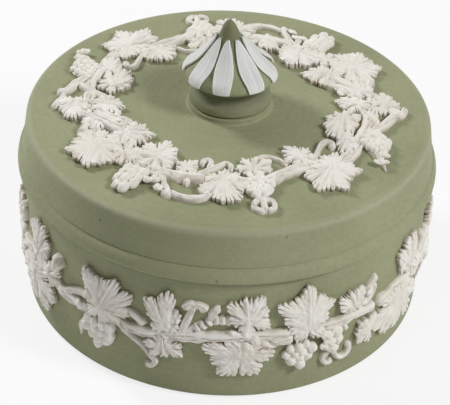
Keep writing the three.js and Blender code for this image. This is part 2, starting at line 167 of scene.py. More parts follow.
# bumps: height, strength and distance of each
def clayOutput(tree, colour, roughness, bumps, specular=0.2):
    normal = None
    for height, strength, distance in bumps:
        bump = addNode(tree, "ShaderNodeBump", {"Height": height, "Strength": strength, "Distance": distance})
        if normal:
            tree.links.new(normal, bump.inputs["Normal"])
        normal = bump.outputs["Normal"]
    shader = addNode(tree, "ShaderNodeBsdfPrincipled", {"Base Color": colour, "Roughness": roughness,
                                                        "Normal": normal, "Specular IOR Level": specular})
    addNode(tree, "ShaderNodeOutputMaterial", {"Surface": shader.outputs[0]})


greenClay = {
    "light": (0.355, 0.374, 0.222, 1),
    "dark": (0.293, 0.311, 0.178, 1),
    "turned": (0.42, 0.42, 0.29, 1),  # the marks that turning leaves
    "pore": (0.2, 0.2, 0.12, 1),
    "tip": (0.14, 0.15, 0.075, 1),
    # painted shade on the knob's neck under its petals
    "hollow": (0.1, 0.106, 0.066, 1),
    # a painted highlight along the lid's rounded edge
    "edgeHighlight": (0.5, 0.51, 0.37, 1),
    "speck": (0.09, 0.08, 0.05, 1),
    "mottleScale": 38,  # scales of the noises, per metre
    "grainScale": 900,
    "speckScale": 620,
    "turningScale": 520,
    "tipHeights": (0.078, 0.0835),  # between which the knob gets darker: partly its own darker clay, partly painted shade between the tops of its petals
    "neckShadeHeights": (0.064, 0.0682, 0.0704, 0.072),  # between which painted shade darkens the knob's neck under its petals
    "highlightedEdge": (0.0572, 0.0586, 0.0568, 0.058),  # radii and heights of the painted highlight on the lid's rounded edge
}

stoneware, tree = newTree("green_stoneware")
where = addNode(tree, "ShaderNodeTexCoord").outputs["Object"]
axes = addNode(tree, "ShaderNodeSeparateXYZ", {0: where})
flatPlace = addNode(tree, "ShaderNodeCombineXYZ", {0: axes.outputs["X"], 1: axes.outputs["Y"]}).outputs[0]
radius = addNode(tree, "ShaderNodeVectorMath", {0: flatPlace}, operation="LENGTH").outputs["Value"]
outAndDown = sums(tree, "SUBTRACT", radius, axes.outputs["Z"])
turning = addNode(tree, "ShaderNodeTexNoise",
                  {"W": outAndDown, "Scale": greenClay["turningScale"], "Detail": 3.0},
                  noise_dimensions="1D").outputs["Fac"]
mottle = noiseOf(tree, where, greenClay["mottleScale"], 4)
grain = noiseOf(tree, where, greenClay["grainScale"], 3, 0.6)
specks = noiseOf(tree, where, greenClay["speckScale"], 1)
colour = mixed(tree, ranged(tree, mottle, 0.35, 0.65), greenClay["dark"], greenClay["light"])
colour = mixed(tree, ranged(tree, turning, 0.3, 0.7, 0, 0.16), colour, greenClay["turned"])
colour = mixed(tree, ranged(tree, grain, 0.3, 0.75, 0, 0.3), colour, greenClay["pore"])
# darker towards the tip: the cap's own darker clay, and painted shade between the petals' tops
colour = mixed(tree, ranged(tree, axes.outputs["Z"], *greenClay["tipHeights"], 0, 0.75), colour,
               greenClay["tip"])
# painted shade: a dark band on the knob's neck under its petals
hollow = sums(tree, "MULTIPLY", ranged(tree, axes.outputs["Z"], *greenClay["neckShadeHeights"][:2]),
              ranged(tree, axes.outputs["Z"], *greenClay["neckShadeHeights"][2:], 1, 0))
colour = mixed(tree, sums(tree, "MULTIPLY", hollow, 0.8), colour, greenClay["hollow"])
# painted highlight: lighter along the lid's rounded edge
edgeHighlight = sums(tree, "MULTIPLY", ranged(tree, radius, *greenClay["highlightedEdge"][:2]),
              ranged(tree, axes.outputs["Z"], *greenClay["highlightedEdge"][2:]))
colour = mixed(tree, sums(tree, "MULTIPLY", edgeHighlight, 0.35), colour, greenClay["edgeHighlight"])
colour = mixed(tree, ranged(tree, specks, 0.785, 0.82, 0, 0.75), colour, greenClay["speck"])
clayOutput(tree, colour, ranged(tree, grain, 0.2, 0.8, 0.54, 0.72),
           [(turning, 0.25, 0.0003), (grain, 0.22, 0.0002)])

whiteClay = {
    "body": (0.9, 0.877, 0.825, 1),
    "warm": (0.83, 0.79, 0.71, 1),
    # brownish dirt in the recesses, which also serves as painted shade
    "recess": (0.36, 0.27, 0.19, 1),
    "mottleScale": 90,
    "patchScale": 260,  # of the brownish dirt and painted shade in the recesses
    "grainScale": 1100,
}

relief, tree = newTree("relief_white")
where = addNode(tree, "ShaderNodeTexCoord").outputs["Object"]
recess = addNode(tree, "ShaderNodeAttribute", attribute_name="recess").outputs["Fac"]
mottle = noiseOf(tree, where, whiteClay["mottleScale"], 4)
grain = noiseOf(tree, where, whiteClay["grainScale"], 3, 0.6)
patchy = noiseOf(tree, where, whiteClay["patchScale"], 2)
colour = mixed(tree, ranged(tree, mottle, 0.38, 0.66), whiteClay["body"], whiteClay["warm"])
# the recess attribute: brownish dirt and painted shade in creases, gaps and at the feet of walls
dirtAndShade = sums(tree, "MULTIPLY", recess, ranged(tree, patchy, 0.3, 0.62, 0.25, 1))
colour = mixed(tree, dirtAndShade, colour, whiteClay["recess"])
clayOutput(tree, colour, ranged(tree, grain, 0.2, 0.8, 0.6, 0.8), [(grain, 0.25, 0.0002)])

strapClay = {
    "body": (0.85, 0.85, 0.83, 1),
    "streak": (0.66, 0.665, 0.66, 1),
    "edge": (0.92, 0.91, 0.87, 1),
    "streakScale": (15, 0.8, 1),  # across and along a strap
    "grainScale": 1200,
}

strap, tree = newTree("petal_white")
uv = addNode(tree, "ShaderNodeUVMap", uv_map="along").outputs["UV"]
where = addNode(tree, "ShaderNodeTexCoord").outputs["Object"]
along = addNode(tree, "ShaderNodeMapping", {"Vector": uv, "Scale": strapClay["streakScale"]}).outputs[0]
streaks = noiseOf(tree, along, 1.0, 3, 0.6)
grain = noiseOf(tree, where, strapClay["grainScale"], 3, 0.6)
across = addNode(tree, "ShaderNodeSeparateXYZ", {0: uv}).outputs["X"]
fromMiddle = sums(tree, "ABSOLUTE", sums(tree, "SUBTRACT", across, 0.5), 0.0)
colour = mixed(tree, ranged(tree, streaks, 0.35, 0.68), strapClay["body"], strapClay["streak"])
colour = mixed(tree, ranged(tree, fromMiddle, 0.38, 0.48, 0, 0.8), colour, strapClay["edge"])
clayOutput(tree, colour, 0.72, [(streaks, 0.3, 0.0003), (grain, 0.2, 0.00015)])
print("clays are mixed")


def arc(centre, reach, start, end, steps):
    angles = [radians(start + (end - start) * i / steps) for i in range(steps + 1)]
    return [(centre[0] + reach[0] * cos(a), centre[1] + reach[1] * sin(a)) for a in angles]


def smoothLine(points, perSpan):
    points = [Vector(p) for p in points]
    line = []
    for i in range(len(points) - 1):
        before = points[i - 1] if i else points[0] * 2 - points[1]
        after = points[i + 2] if i + 2 < len(points) else points[-1] * 2 - points[-2]
        a, b = points[i], points[i + 1]
        for j in range(perSpan):
            t = j / perSpan
            line.append(0.5 * (2 * a + (b - before) * t + (2 * before - 5 * a + 4 * b - after) * t * t
                               + (3 * a - before - 3 * b + after) * t ** 3))
    return line + [points[-1]]


def spun(profile, steps):
    bm = bmesh.new()
    verts = [bm.verts.new((r, 0, z)) for r, z in profile]
    edges = [bm.edges.new(pair) for pair in zip(verts, verts[1:])]
    bmesh.ops.spin(bm, geom=verts + edges, cent=(0, 0, 0), axis=(0, 0, 1), dvec=(0, 0, 0),
                   angle=2 * pi, steps=steps, use_merge=True, use_duplicate=False)
    bmesh.ops.remove_doubles(bm, verts=bm.verts, dist=1e-5)
    bmesh.ops.recalc_face_normals(bm, faces=bm.faces)
    return bm


def finishPiece(name, bm, material, body, nodes, sharp=50):
    bmesh.ops.scale(bm, vec=(mm, mm, mm), verts=bm.verts)
    mesh = bpy.data.meshes.new(name)
    bm.to_mesh(mesh)
    bm.free()
    mesh.shade_smooth()
    mesh.set_sharp_from_angle(angle=radians(sharp))
    mesh.materials.append(material)
    piece = bpy.data.objects.new(name, mesh)
    scene.collection.objects.link(piece)
    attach(piece, body)
    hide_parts(*nodes)


bowl = {
    "radius": 60.1,
    "height": 42.5,
    "wall": 5.6,
    "floor": 4.2,
    "corner": 7,
    "footCornerOut": 3.4,
    "footCornerUp": 1.7,
    "footWidth": 7,
    "footRecess": 0.9,
    "footBevel": 1,
    "shoulderBevel": 0.25,
    "neckThickness": 2.4,
    "neckHeight": 4.6,
    "neckBevel": 0.6,
    "neckCrease": 0.2,
    "lipRounding": 0.5,
    "steps": 240,
}


def bowlProfile():
    outside, height = bowl["radius"], bowl["height"]
    inside = outside - bowl["wall"]
    neck = inside + bowl["neckThickness"]
    top = height + bowl["neckHeight"]
    out, up, foot, corner = bowl["footCornerOut"], bowl["footCornerUp"], bowl["footBevel"], bowl["corner"]
    footInside = outside - out - bowl["footWidth"]
    bevel, crease = bowl["shoulderBevel"], bowl["neckCrease"]
    neckBevel, lip = bowl["neckBevel"], bowl["lipRounding"]
    return [
        (0, bowl["footRecess"]),
        (footInside - foot, bowl["footRecess"]),
        *arc((footInside, foot), (foot, foot), 190, 270, 4),
        *arc((outside - out, up), (out, up), -90, 0, 12),
        *[(outside, up + (height - bevel - up) * i / 24) for i in range(1, 25)],
        (outside - bevel, height),
        (neck + crease, height),
        (neck, height + crease),
        *arc((neck - neckBevel, top - neckBevel), (neckBevel, neckBevel), 0, 90, 5),
        *arc((inside + lip, top - lip), (lip, lip), 90, 180, 4),
        *arc((inside - corner, bowl["floor"] + corner), (corner, corner), 0, -90, 14),
        (0, bowl["floor"]),
    ]


bm = spun(bowlProfile(), bowl["steps"])
finishPiece("stoneware_bowl", bm, stoneware, "bowl_body", ["bowl"])
print("bowl is turned")


lid = {
    "rise": 16.5,
    "inset": 0.9,
    "edgeRounding": 1.8,
    "topThickness": 3.8,
    "corner": 6,
    "domeRise": 2.5,
    "beadReach": 1.9,
    "beadHeight": 1.9,
    "creaseReach": 0.6,
    "creaseHeight": 5.4,
    "wallInset": 0.25,  # where the wall starts: inside the crease, and over it
    "wallStart": 0.7,
    "neckClearance": 0.4,
    "seatRadius": 12.25,
    "seatRise": 1.5,
    "seatFillet": 0.7,
    "seatRounding": 0.35,
    "steps": 240,
}
lidTopRadius = bowl["radius"] - lid["inset"]
seatTop = bowl["height"] + lid["rise"] + lid["domeRise"] + lid["seatRise"]


def domeHeight(radius):
    return bowl["height"] + lid["rise"] + lid["domeRise"] * (1 - (radius / lidTopRadius) ** 2)


def lidProfile():
    base, outside, corner = bowl["height"], bowl["radius"], lid["corner"]
    inside = outside - bowl["wall"] + bowl["neckThickness"] + lid["neckClearance"]
    cornerAt = inside - corner
    underside = [(r, domeHeight(r) - lid["topThickness"]) for r in (cornerAt * i / 8 for i in range(8))]
    cornerTop = domeHeight(cornerAt) - lid["topThickness"] - corner
    reach, crease = outside + lid["beadReach"], outside + lid["creaseReach"]
    # drawn freely, from under the bead to the crease over it
    bead = smoothLine([
        (outside - 0.1, base + 0.45),
        (reach - 0.6, base + 0.5),
        (reach - 0.12, base + 1.05),
        (reach, base + lid["beadHeight"]),
        (reach - 0.12, base + 2.75),
        (reach - 0.42, base + 3.6),
        (reach - 0.85, base + 4.35),
        (crease - 0.1, base + 4.9),
        (crease - 0.4, base + 5.15),
        (crease - 0.22, base + lid["creaseHeight"] + 0.05),
        (crease - 0.25, base + lid["creaseHeight"] + 0.6),
    ], 5)
    rounding = lid["edgeRounding"]
    edge = arc((lidTopRadius - rounding, base + lid["rise"] - rounding), (rounding, rounding), 0, 88, 10)
    inset, start = lid["wallInset"], lid["wallStart"]
    wall = [(crease - inset + (lidTopRadius - crease + inset) * i / 8,
             base + lid["creaseHeight"] + start + (edge[0][1] - base - lid["creaseHeight"] - start) * i / 8)
            for i in range(8)]
    domeEnd = lidTopRadius - rounding - 0.6
    fillet, seatEdge = lid["seatFillet"], lid["seatRounding"]
    domeStart = lid["seatRadius"] + fillet
    dome = [(r, domeHeight(r)) for r in (domeEnd + (domeStart - domeEnd) * i / 24 for i in range(25))]
    return [
        *underside,
        *arc((cornerAt, cornerTop), (corner, corner), 90, 0, 12),
        (inside, base + 0.4),
        (inside + 0.4, base),
        (outside - 1.3, base),
        (outside - 1.1, base + 0.4),
        *[tuple(p) for p in bead],
        *wall,
        *edge,
        *dome,
        *arc((domeStart, domeHeight(domeStart) + fillet), (fillet, fillet), 250, 180, 4),
        *arc((lid["seatRadius"] - seatEdge, seatTop - seatEdge), (seatEdge, seatEdge), 0, 90, 4),
        (0, seatTop),
    ]


bm = spun(lidProfile(), lid["steps"])
finishPiece("stoneware_lid", bm, stoneware, "lid_body", ["lid"])
print("lid is turned")


knob = {
    "height": 26.1,
    "outline": [  # radius, height over the seat
        (11.0, -0.05), (11.05, 0.25), (11.75, 0.6), (11.95, 1.5), (11.8, 2.5), (11.2, 3.3), (10.4, 4.2),
        (10.1, 5.1), (10.4, 6.1), (11.7, 7.5), (12.85, 8.5), (13.0, 9.4), (12.3, 10.8), (10.4, 12.4),
        (8.5, 14.2), (6.9, 15.9), (5.3, 17.9), (3.95, 19.7), (3.05, 21.0), (2.5, 22.6), (1.85, 24.2),
        (1.2, 25.2), (0.6, 25.85), (0, 26.1),
    ],
    "lean": 1.0,  # how far the tip leans to the left
    "steps": 128,
}


def lean(point):
    share = max(0, (point.z - seatTop) / knob["height"])
    point.x -= knob["lean"] * share ** 1.5
    return point


outline = smoothLine(knob["outline"], 6)
bm = spun([(0, seatTop)] + [(max(p.x, 0), seatTop + p.y) for p in outline], knob["steps"])
for vert in bm.verts:
    vert.co = lean(vert.co)
finishPiece("stoneware_knob", bm, stoneware, "lid_body", ["knob"])

petal = {
    "turns": [-99, -54, -14, 34, 79, 122, 175, -140],
    "lowEnd": 9.0,  # heights over the seat
    "highEnd": 21.2,
    "endWidth": 4.7,
    "width": 5.9,
    "widestAt": 0.38,
    "pointWidth": 0.5,
    "taper": 1.4,
    "variation": (-0.06, 0.08),
    "room": 1.06,  # most width, as a share of the space for each
    "skew": 0.25,  # how far its low end may sit to one side
    "thickness": 0.55,
    "lift": 0.2,
    "crown": 0.1,
    "ridge": 0.03,
    "unevenness": 0.05,
    "across": 14,
    "along": 40,
    "bevel": 0.09,
}

# the stretch of the knob's outline that the straps lie on
strapRun = [p for p in outline if petal["lowEnd"] <= p.y <= petal["highEnd"]]


def petalWidthAt(along, scale):
    if along < petal["widestAt"]:
        swell = sin(along / petal["widestAt"] * pi / 2)
        return scale * (petal["endWidth"] + (petal["width"] - petal["endWidth"]) * swell)
    narrowing = ((along - petal["widestAt"]) / (1 - petal["widestAt"])) ** petal["taper"]
    return scale * petal["width"] + (petal["pointWidth"] - scale * petal["width"]) * narrowing


def petalMesh(turn, scale, rng):
    bm = bmesh.new()
    bmesh.ops.create_grid(bm, x_segments=petal["across"], y_segments=petal["along"], size=0.5)
    layer = bm.loops.layers.uv.new("along")
    offset = rng.uniform(0, 20)
    for face in bm.faces:
        for loop in face.loops:
            loop[layer].uv = (loop.vert.co.x + 0.5, loop.vert.co.y + 0.5 + offset)
    skew = rng.uniform(-petal["skew"], petal["skew"])
    for vert in bm.verts:
        across, along = vert.co.x, vert.co.y + 0.5
        at = along * (len(strapRun) - 1)
        low = min(int(at), len(strapRun) - 2)
        span = strapRun[low + 1] - strapRun[low]
        place = strapRun[low] + span * (at - low)
        out = Vector((span.y, -span.x)).normalized()
        width = petalWidthAt(along, scale)
        rough = petal["ridge"] * sin(across * 26 + offset)
        rough += petal["unevenness"] * noise.noise(Vector((across * 12, along * 4, offset)))
        lift = petal["lift"] + petal["thickness"] + petal["crown"] * (1 - 4 * across * across) + rough
        room = place.x * 2 * pi / len(petal["turns"]) * petal["room"]
        radius = place.x + out.x * lift
        angle = radians(turn) + (across * min(width, room) + skew * (1 - along)) / radius
        vert.co = (radius * cos(angle), radius * sin(angle), seatTop + place.y + out.y * lift)
    bmesh.ops.recalc_face_normals(bm, faces=bm.faces)
    if sum(f.normal.dot(f.calc_center_median() - Vector((0, 0, seatTop))) for f in bm.faces) < 0:
        bmesh.ops.reverse_faces(bm, faces=bm.faces)
    bmesh.ops.solidify(bm, geom=bm.faces[:], thickness=petal["thickness"])
    bmesh.ops.recalc_face_normals(bm, faces=bm.faces)
    rim = [e for e in bm.edges if len(e.link_faces) == 2 and e.calc_face_angle() > radians(50)]
    bmesh.ops.bevel(bm, geom=rim, offset=petal["bevel"], affect="EDGES", segments=2, profile=0.5, material=-1)
    for vert in bm.verts:
        vert.co = lean(vert.co)
    return bm


rng = random.Random(8)
for i, turn in enumerate(petal["turns"]):
    bm = petalMesh(turn, 1 + rng.uniform(*petal["variation"]), rng)
    finishPiece(f"knob_strap_{i + 1}", bm, strap, "lid_body", [f"knob_petal_{i + 1}"],
                sharp=40)
print("knob and its petals are made")


def towards(angle):
    return Vector((cos(radians(angle)), sin(radians(angle))))


# bearings run clockwise from up
def atBearing(bearing, reach):
    return sin(radians(bearing)) * reach, cos(radians(bearing)) * reach


def aside(rng, most):
    return rng.uniform(-most, most)


def apart(bearing, other):
    return abs((bearing - other + 180) % 360 - 180)


def rotated(vector, degreesClockwise):
    a = radians(-degreesClockwise)
    return Vector((vector.x * cos(a) - vector.y * sin(a), vector.x * sin(a) + vector.y * cos(a)))


wreath = {
    "middle": 40,  # radius of the middle line
    "repeats": 2,
    "body": "lid_body",
    "stem": 2,  # width of the small leaves' stems
    "shift": (0, -1.3),  # of leaves, bunches and lumps, before they are repeated
    "handLaid": [  # angle, and how far off the first repeat's pattern the second one is there
        (-8, (0.2, -1)), (-1, (0.6, -2.8)), (6, (0.8, -3.3)), (33, (0.3, -3)), (55, (0.8, -3)),
        (72, (0.3, -1.6)), (95, (-0.5, 0)), (118, (-1.4, -0.8)), (133, (-3, -2)), (150, (-2, -1.5)),
        (164, (-1.6, -1.4)), (179, (-0.4, 0)), (190, (0, 0)),
    ],
}
wreath["flat"] = lambda angle, offset: towards(angle) * (wreath["middle"] + offset)
wreath["up"] = towards
wreath["on"] = lambda x, y, lift: Vector((x, y, domeHeight(hypot(x, y)) + lift))

frieze = {
    "middle": 23.5,  # height of the middle line
    "repeats": 3,
    "body": "bowl_body",
    "stem": 2.4,
    "shift": (0, 0),
    "handLaid": [],
}
frieze["flat"] = lambda angle, offset: Vector((radians(angle) * bowl["radius"], frieze["middle"] + offset))
frieze["up"] = lambda angle: Vector((0, 1))
frieze["on"] = lambda x, y, lift: Vector(((bowl["radius"] + lift) * cos(x / bowl["radius"]),
                                          (bowl["radius"] + lift) * sin(x / bowl["radius"]), y))


# from a flat drawing round an entry to the clay
def placer(band, entry):
    centre = band["flat"](*entry["at"]) + Vector(band["shift"])
    forward = rotated(band["up"](entry["at"][0]), entry["heading"])
    right = Vector((forward.y, -forward.x))

    def put(x, y, lift):
        place = centre + right * x + forward * y
        return band["on"](place.x, place.y, lift)
    return put


leaf = {
    "hollow": 0.24,  # how far the edge draws in between two lobes that lie far apart
    "slit": 0.2,
    "slitWidth": 2.8,  # degrees, like the two gaps
    "slitGap": 32,  # the widest gap between two lobes that has no slit
    "mainGap": 36,  # the least between lobes that have a vein
    "rim": 1.4,  # heights over the ground
    "middle": 1.95,
    "wall": [(1, 0.62), (0.975, 0.3), (0.935, 0)],  # shares of the reach and of the height
    "steps": 440,
    "rings": 20,
    "smallFineness": 0.7,
    "vein": 0.36,
    "veinWidth": 0.3,
    "veinVariation": (0.25, 1.3),
    "veinShade": 0.25,  # how dark, from 0 to 1
    "sideVein": 0.05,
    "sideVeinPitch": 1.9,
    "crease": 0.45,
    "creaseWidth": 0.4,
    "creaseShade": 0.7,
    "creased": 0.75,  # share of the gaps between veins that have one
    "toothPitch": 1.7,
    "toothVariation": (0.7, 1.35),
    "toothDepth": 0.8,
    "toothStart": 0.7,  # shares of the reach: where teeth start, and how far they go on
    "toothRun": 0.3,
    "toothHollow": 0.35,
    "toothShade": 0.8,
    "combDepth": 2.3,
    "combReach": 65,  # degrees to each side
    "tilt": 0.3,
    "waves": [(0.4, 0.32), (0.2, 1.1)],  # height, and how quick they are per millimetre
    "wallShade": 0.9,
    "sunk": 0.15,
}


def leafPlan(band, entry, seed):
    lobes = sorted((bearing % 360, reach) for bearing, reach in entry["lobes"])
    return {
        "entry": entry,
        "lobes": lobes,
        "centre": band["flat"](*entry["at"]) + Vector(band["shift"]),
        "rng": random.Random(seed * 7 + 3),
        "most": max(reach for bearing, reach in lobes),
    }


# how far a leaf reaches at a bearing, without its teeth
def rimAt(plan, bearing):
    lobes = plan["lobes"]
    bearing %= 360
    for i, (end, high) in enumerate(lobes + [(lobes[0][0] + 360, lobes[0][1])]):
        start, low = lobes[i - 1] if i else (lobes[-1][0] - 360, lobes[-1][1])
        if start <= bearing <= end:
            gap = max(1, end - start)
            share = (bearing - start) / gap
            between = (1 - abs(2 * share - 1)) ** 0.85
            slit = 0
            if gap > leaf["slitGap"]:
                slit = leaf["slit"] * exp(-((share - 0.5) * gap / leaf["slitWidth"]) ** 2)
            reach = low + (high - low) * share * share * (3 - 2 * share)
            return reach * (1 - leaf["hollow"] * min(1, gap / 60) * between - slit)


# 1 where a leaf covers the spot and 0 where none does
def coverAt(plans, spot):
    cover = 0
    for plan in plans:
        away = spot - plan["centre"]
        if away.length < plan["most"]:
            inside = rimAt(plan, atan2(away.x, away.y) * 180 / pi) - away.length
            cover = max(cover, min(1, inside / 0.9 + 0.7))
    return cover


# distance to a line, and the place along it, also as a share
def nearLine(x, y, ax, ay, bx, by):
    dx, dy = bx - ax, by - ay
    run = hypot(dx, dy)
    along = max(0, min(run, ((x - ax) * dx + (y - ay) * dy) / run))
    return hypot(x - ax - dx * along / run, y - ay - dy * along / run), along, along / run


def leafMesh(band, plan, fine=1.0):
    entry, rng, half = plan["entry"], plan["rng"], plan["most"]
    comb = entry.get("comb", 0)
    steps, rings = round(leaf["steps"] * fine), round(leaf["rings"] * fine ** 0.5)
    turns = [i * 360 / steps for i in range(steps)]
    rim = [rimAt(plan, turn) for turn in turns]
    ways = [Vector(atBearing(turn, 1)) for turn in turns]
    spots = [way * reach for way, reach in zip(ways, rim)]
    run, runs = 0.0, []
    for first, second in zip([spots[0]] + spots, spots):
        run += (second - first).length
        runs.append(run)
    cuts = [0.0]
    while cuts[-1] < run:
        cuts.append(cuts[-1] + leaf["toothPitch"] * rng.uniform(*leaf["toothVariation"]))
    depths = [rng.uniform(0.5, 1) for cut in cuts]
    notches, at = [], 0
    for turn, length in zip(turns, runs):
        while at < len(cuts) - 2 and cuts[at + 1] < length:
            at += 1
        share = (length - cuts[at]) / (cuts[at + 1] - cuts[at])
        combed = max(0, 1 - (apart(turn, comb) / leaf["combReach"]) ** 2)
        edge = abs(2 * share - 1) ** (1.2 + 4.5 * combed)
        notches.append(edge * depths[at + (share > 0.5)]
                       * (leaf["toothDepth"] + (leaf["combDepth"] - leaf["toothDepth"]) * combed))
    shares = [1 - (1 - i / rings) ** 1.5 for i in range(rings + 1)]
    bm = spun([(share, 1) for share in shares] + leaf["wall"], steps)
    layer = bm.verts.layers.float.new("recess")
    hub = entry["hub"]
    lobes = []
    for turn, reach in sorted(plan["lobes"], key=lambda lobe: -lobe[1]):
        if all(apart(turn, other) > leaf["mainGap"] for other, far in lobes):
            lobes.append((turn, reach))
    lobes.sort()
    tips = [atBearing(turn, reach) for turn, reach in lobes]
    creases = []
    for (start, low), (end, high) in zip(lobes, lobes[1:] + [(lobes[0][0] + 360, lobes[0][1])]):
        if rng.random() < leaf["creased"]:
            turn = (start + end) / 2
            creases.append(atBearing(turn, rimAt(plan, turn)))
    ridges = {tip: rng.uniform(*leaf["veinVariation"]) for tip in tips}
    offset = rng.uniform(0, 100)
    tilt = Vector((aside(rng, leaf["tilt"]), aside(rng, leaf["tilt"]))) / half
    raised = entry.get("raised", 0)
    for vert in bm.verts:
        share = min(1, hypot(vert.co.x, vert.co.y))
        wall = vert.co.z
        i = round(atan2(vert.co.x, vert.co.y) / 2 / pi * steps) % steps
        deep = max(0, (share - leaf["toothStart"]) / leaf["toothRun"]) ** 1.2
        reach = rim[i] * share - min(notches[i], rim[i] * 0.34) * deep
        x, y = ways[i] * reach
        lift = leaf["middle"] + (leaf["rim"] - leaf["middle"]) * share ** 2 + raised + tilt.x * x + tilt.y * y
        (away, along, part), tip = min((nearLine(x, y, *hub, *tip), tip) for tip in tips)
        lift += leaf["vein"] * ridges[tip] * exp(-(away / leaf["veinWidth"]) ** 2) * (1 - part * 0.5)
        ripple = cos(2 * pi * (along - away * 0.8) / leaf["sideVeinPitch"])
        lift += leaf["sideVein"] * ripple * min(1, away / 0.8) * min(1, along / (half * 0.5))
        dark = leaf["veinShade"] * ridges[tip] * exp(-((away - 0.65) / leaf["veinWidth"]) ** 2)
        for crease in creases:
            away, along, part = nearLine(x, y, *hub, *crease)
            valley = exp(-(away / leaf["creaseWidth"]) ** 2) * part ** 2
            lift -= leaf["crease"] * valley
            dark += leaf["creaseShade"] * valley
        lift -= leaf["toothHollow"] * min(1, notches[i]) * deep
        dark += leaf["toothShade"] * min(1, notches[i]) * deep ** 1.5
        for height, quickness in leaf["waves"]:
            lift += height * noise.noise(Vector((x * quickness, y * quickness, offset)))
        if wall < 0.999:
            lift = -leaf["sunk"] + (lift + leaf["sunk"]) * wall
            dark = dark * wall + (1 - wall) * leaf["wallShade"]
        vert[layer] = min(1, dark)
        vert.co = band["on"](plan["centre"].x + x, plan["centre"].y + y, lift)
    bmesh.ops.recalc_face_normals(bm, faces=bm.faces)
    return bm


# vines, stems, shoots and tendrils
strand = {
    "around": 20,
    "step": 0.55,  # millimetres between rows
    "vineWidth": 3.5,
    "vineHeight": 2.1,
    "vineGrooves": 0.55,
    "shootHeight": 1.6,
    "shootRise": 0.7,  # the least height of a wide shoot, as a share of its width
    "tendrilKnob": 0.2,
    "wander": 0.35,  # how much the width varies
    "twist": 0.35,  # of the grooves, as a share of half the width
    "pace": 0.3,  # of both, per millimetre
    "grooves": [(0, 0.17), (0.55, 0.14)],  # place and width, as shares of half the strand's
    "grooveShare": 0.11,  # the least depth, as a share of the width
    "grooveShade": 0.6,
    "edgeShade": 0.85,
    "bark": 0.3,
    "sunk": 0.2,
    "tucked": 0.35,  # share of its height that it loses under a leaf
    "curlSteps": 14,
}


def evenly(points):
    line = smoothLine([p.to_3d() for p in points], 16)
    lengths = [0.0]
    for first, second in zip(line, line[1:]):
        lengths.append(lengths[-1] + (second - first).length)
    count = max(4, round(lengths[-1] / strand["step"]))
    spots, at = [], 0
    for i in range(count + 1):
        target = lengths[-1] * i / count
        while at < len(lengths) - 2 and lengths[at + 1] < target:
            at += 1
        span = lengths[at + 1] - lengths[at]
        spots.append(line[at].lerp(line[at + 1], (target - lengths[at]) / span if span else 0))
    return spots, lengths[-1]


def strandMesh(band, plans, points, width, height, grooves=0.0, knob=0.0, pointed=False, seed=0):
    spots, length = evenly(points)
    rows = len(spots) - 1
    bm = spun([(0, 0)] + [(1, row) for row in range(rows + 1)] + [(0, rows)], strand["around"])
    layer = bm.verts.layers.float.new("recess")
    covers = [coverAt(plans, spot.to_2d()) for spot in spots]
    for vert in bm.verts:
        row = round(vert.co.z)
        away = min(row, rows - row) / rows * length
        x, y = vert.co.x, vert.co.y
        spot = spots[row]
        way = (spots[min(row + 1, rows)] - spots[max(row - 1, 0)]).normalized()
        half = width / 2
        endRun = (rows - row) / rows * length
        rounding = sqrt(max(0.02, 1 - max(0, 1 - away / half) ** 2))
        swell = 1 + knob * exp(-((endRun - half) / (half * 1.1)) ** 2)
        if pointed:
            rounding = min(rounding, 0.15 + 0.85 * min(1, endRun / (width * 2.2)))
        wander = 1 + strand["wander"] * noise.noise(
            Vector((row * strand["step"] * strand["pace"], seed * 3.1, 0)))
        across = x * half * rounding * swell * wander
        top = height * rounding * (1 + (swell - 1) * 0.5) * (1 - strand["tucked"] * covers[row])
        lift = -strand["sunk"] + (top + strand["sunk"]) * max(0, y) ** 0.5
        dark = strand["edgeShade"] * (1 - max(0, y)) ** 3
        if y > 0:
            twist = strand["twist"] * sin(row * strand["step"] * strand["pace"] + seed)
            cut = max(exp(-((x - twist + at) / wide) ** 2) for at, wide in strand["grooves"])
            lift -= max(grooves, strand["grooveShare"] * width) * cut * rounding
            dark += strand["grooveShade"] * cut
            lift += strand["bark"] * noise.noise(Vector((x * 3.2, row * strand["step"] * 0.4, seed)))
        vert[layer] = min(1, dark)
        vert.co = band["on"](spot.x - way.y * across, spot.y + way.x * across, lift)
    bmesh.ops.recalc_face_normals(bm, faces=bm.faces)
    return bm


def curlPoints(band, entry):
    steps = strand["curlSteps"]
    place = band["flat"](*entry["at"])
    up = band["up"](entry["at"][0])
    points = [place.copy()]
    for i in range(1, steps + 1):
        way = rotated(up, entry["heading"] + entry["curl"] * (i / steps) ** 1.2)
        place = place + way * (entry["length"] / steps)
        points.append(place.copy())
    return points


grape = {
    "radius": 1.3,
    "long": 1.2,  # a grape is this much longer than wide
    "variation": (0.85, 1.15),
    "pitch": 2.25,
    "rowPitch": 1.95,
    "shift": 0.2,  # how far a grape may lie off its place, and off its height
    "liftShift": 0.15,
    "lift": 0.95,
    "crown": 0.4,  # how much higher the middle of a row lies
    "bedMargin": (0.8, 0.9),  # how far the clay behind goes past the outer grapes' middles
    "bedHeight": 1.1,
    "bedLift": 0.45,
    "sunk": 0.2,
}


def addBall(bm, layer, put, place, size, lift, rough=0.13):
    for vert in bmesh.ops.create_uvsphere(bm, u_segments=18, v_segments=12, radius=1)["verts"]:
        x, y, z = vert.co
        height = lift + z * size[2]
        # dirt and painted shade, darker towards the underside of each ball, where it meets the ground and its
        # neighbours
        vert[layer] = min(1, max(0, 0.9 * (1 - (z + 1) / 1.5))) ** 1.4
        uneven = 1 + rough * noise.noise(Vector((x * 1.3, y * 1.3, z * 1.3 + place[0] * 3 + place[1] * 7)))
        vert.co = put(place[0] + x * size[0] * uneven, place[1] + y * size[1] * uneven,
                      max(height * uneven, -grape["sunk"]))


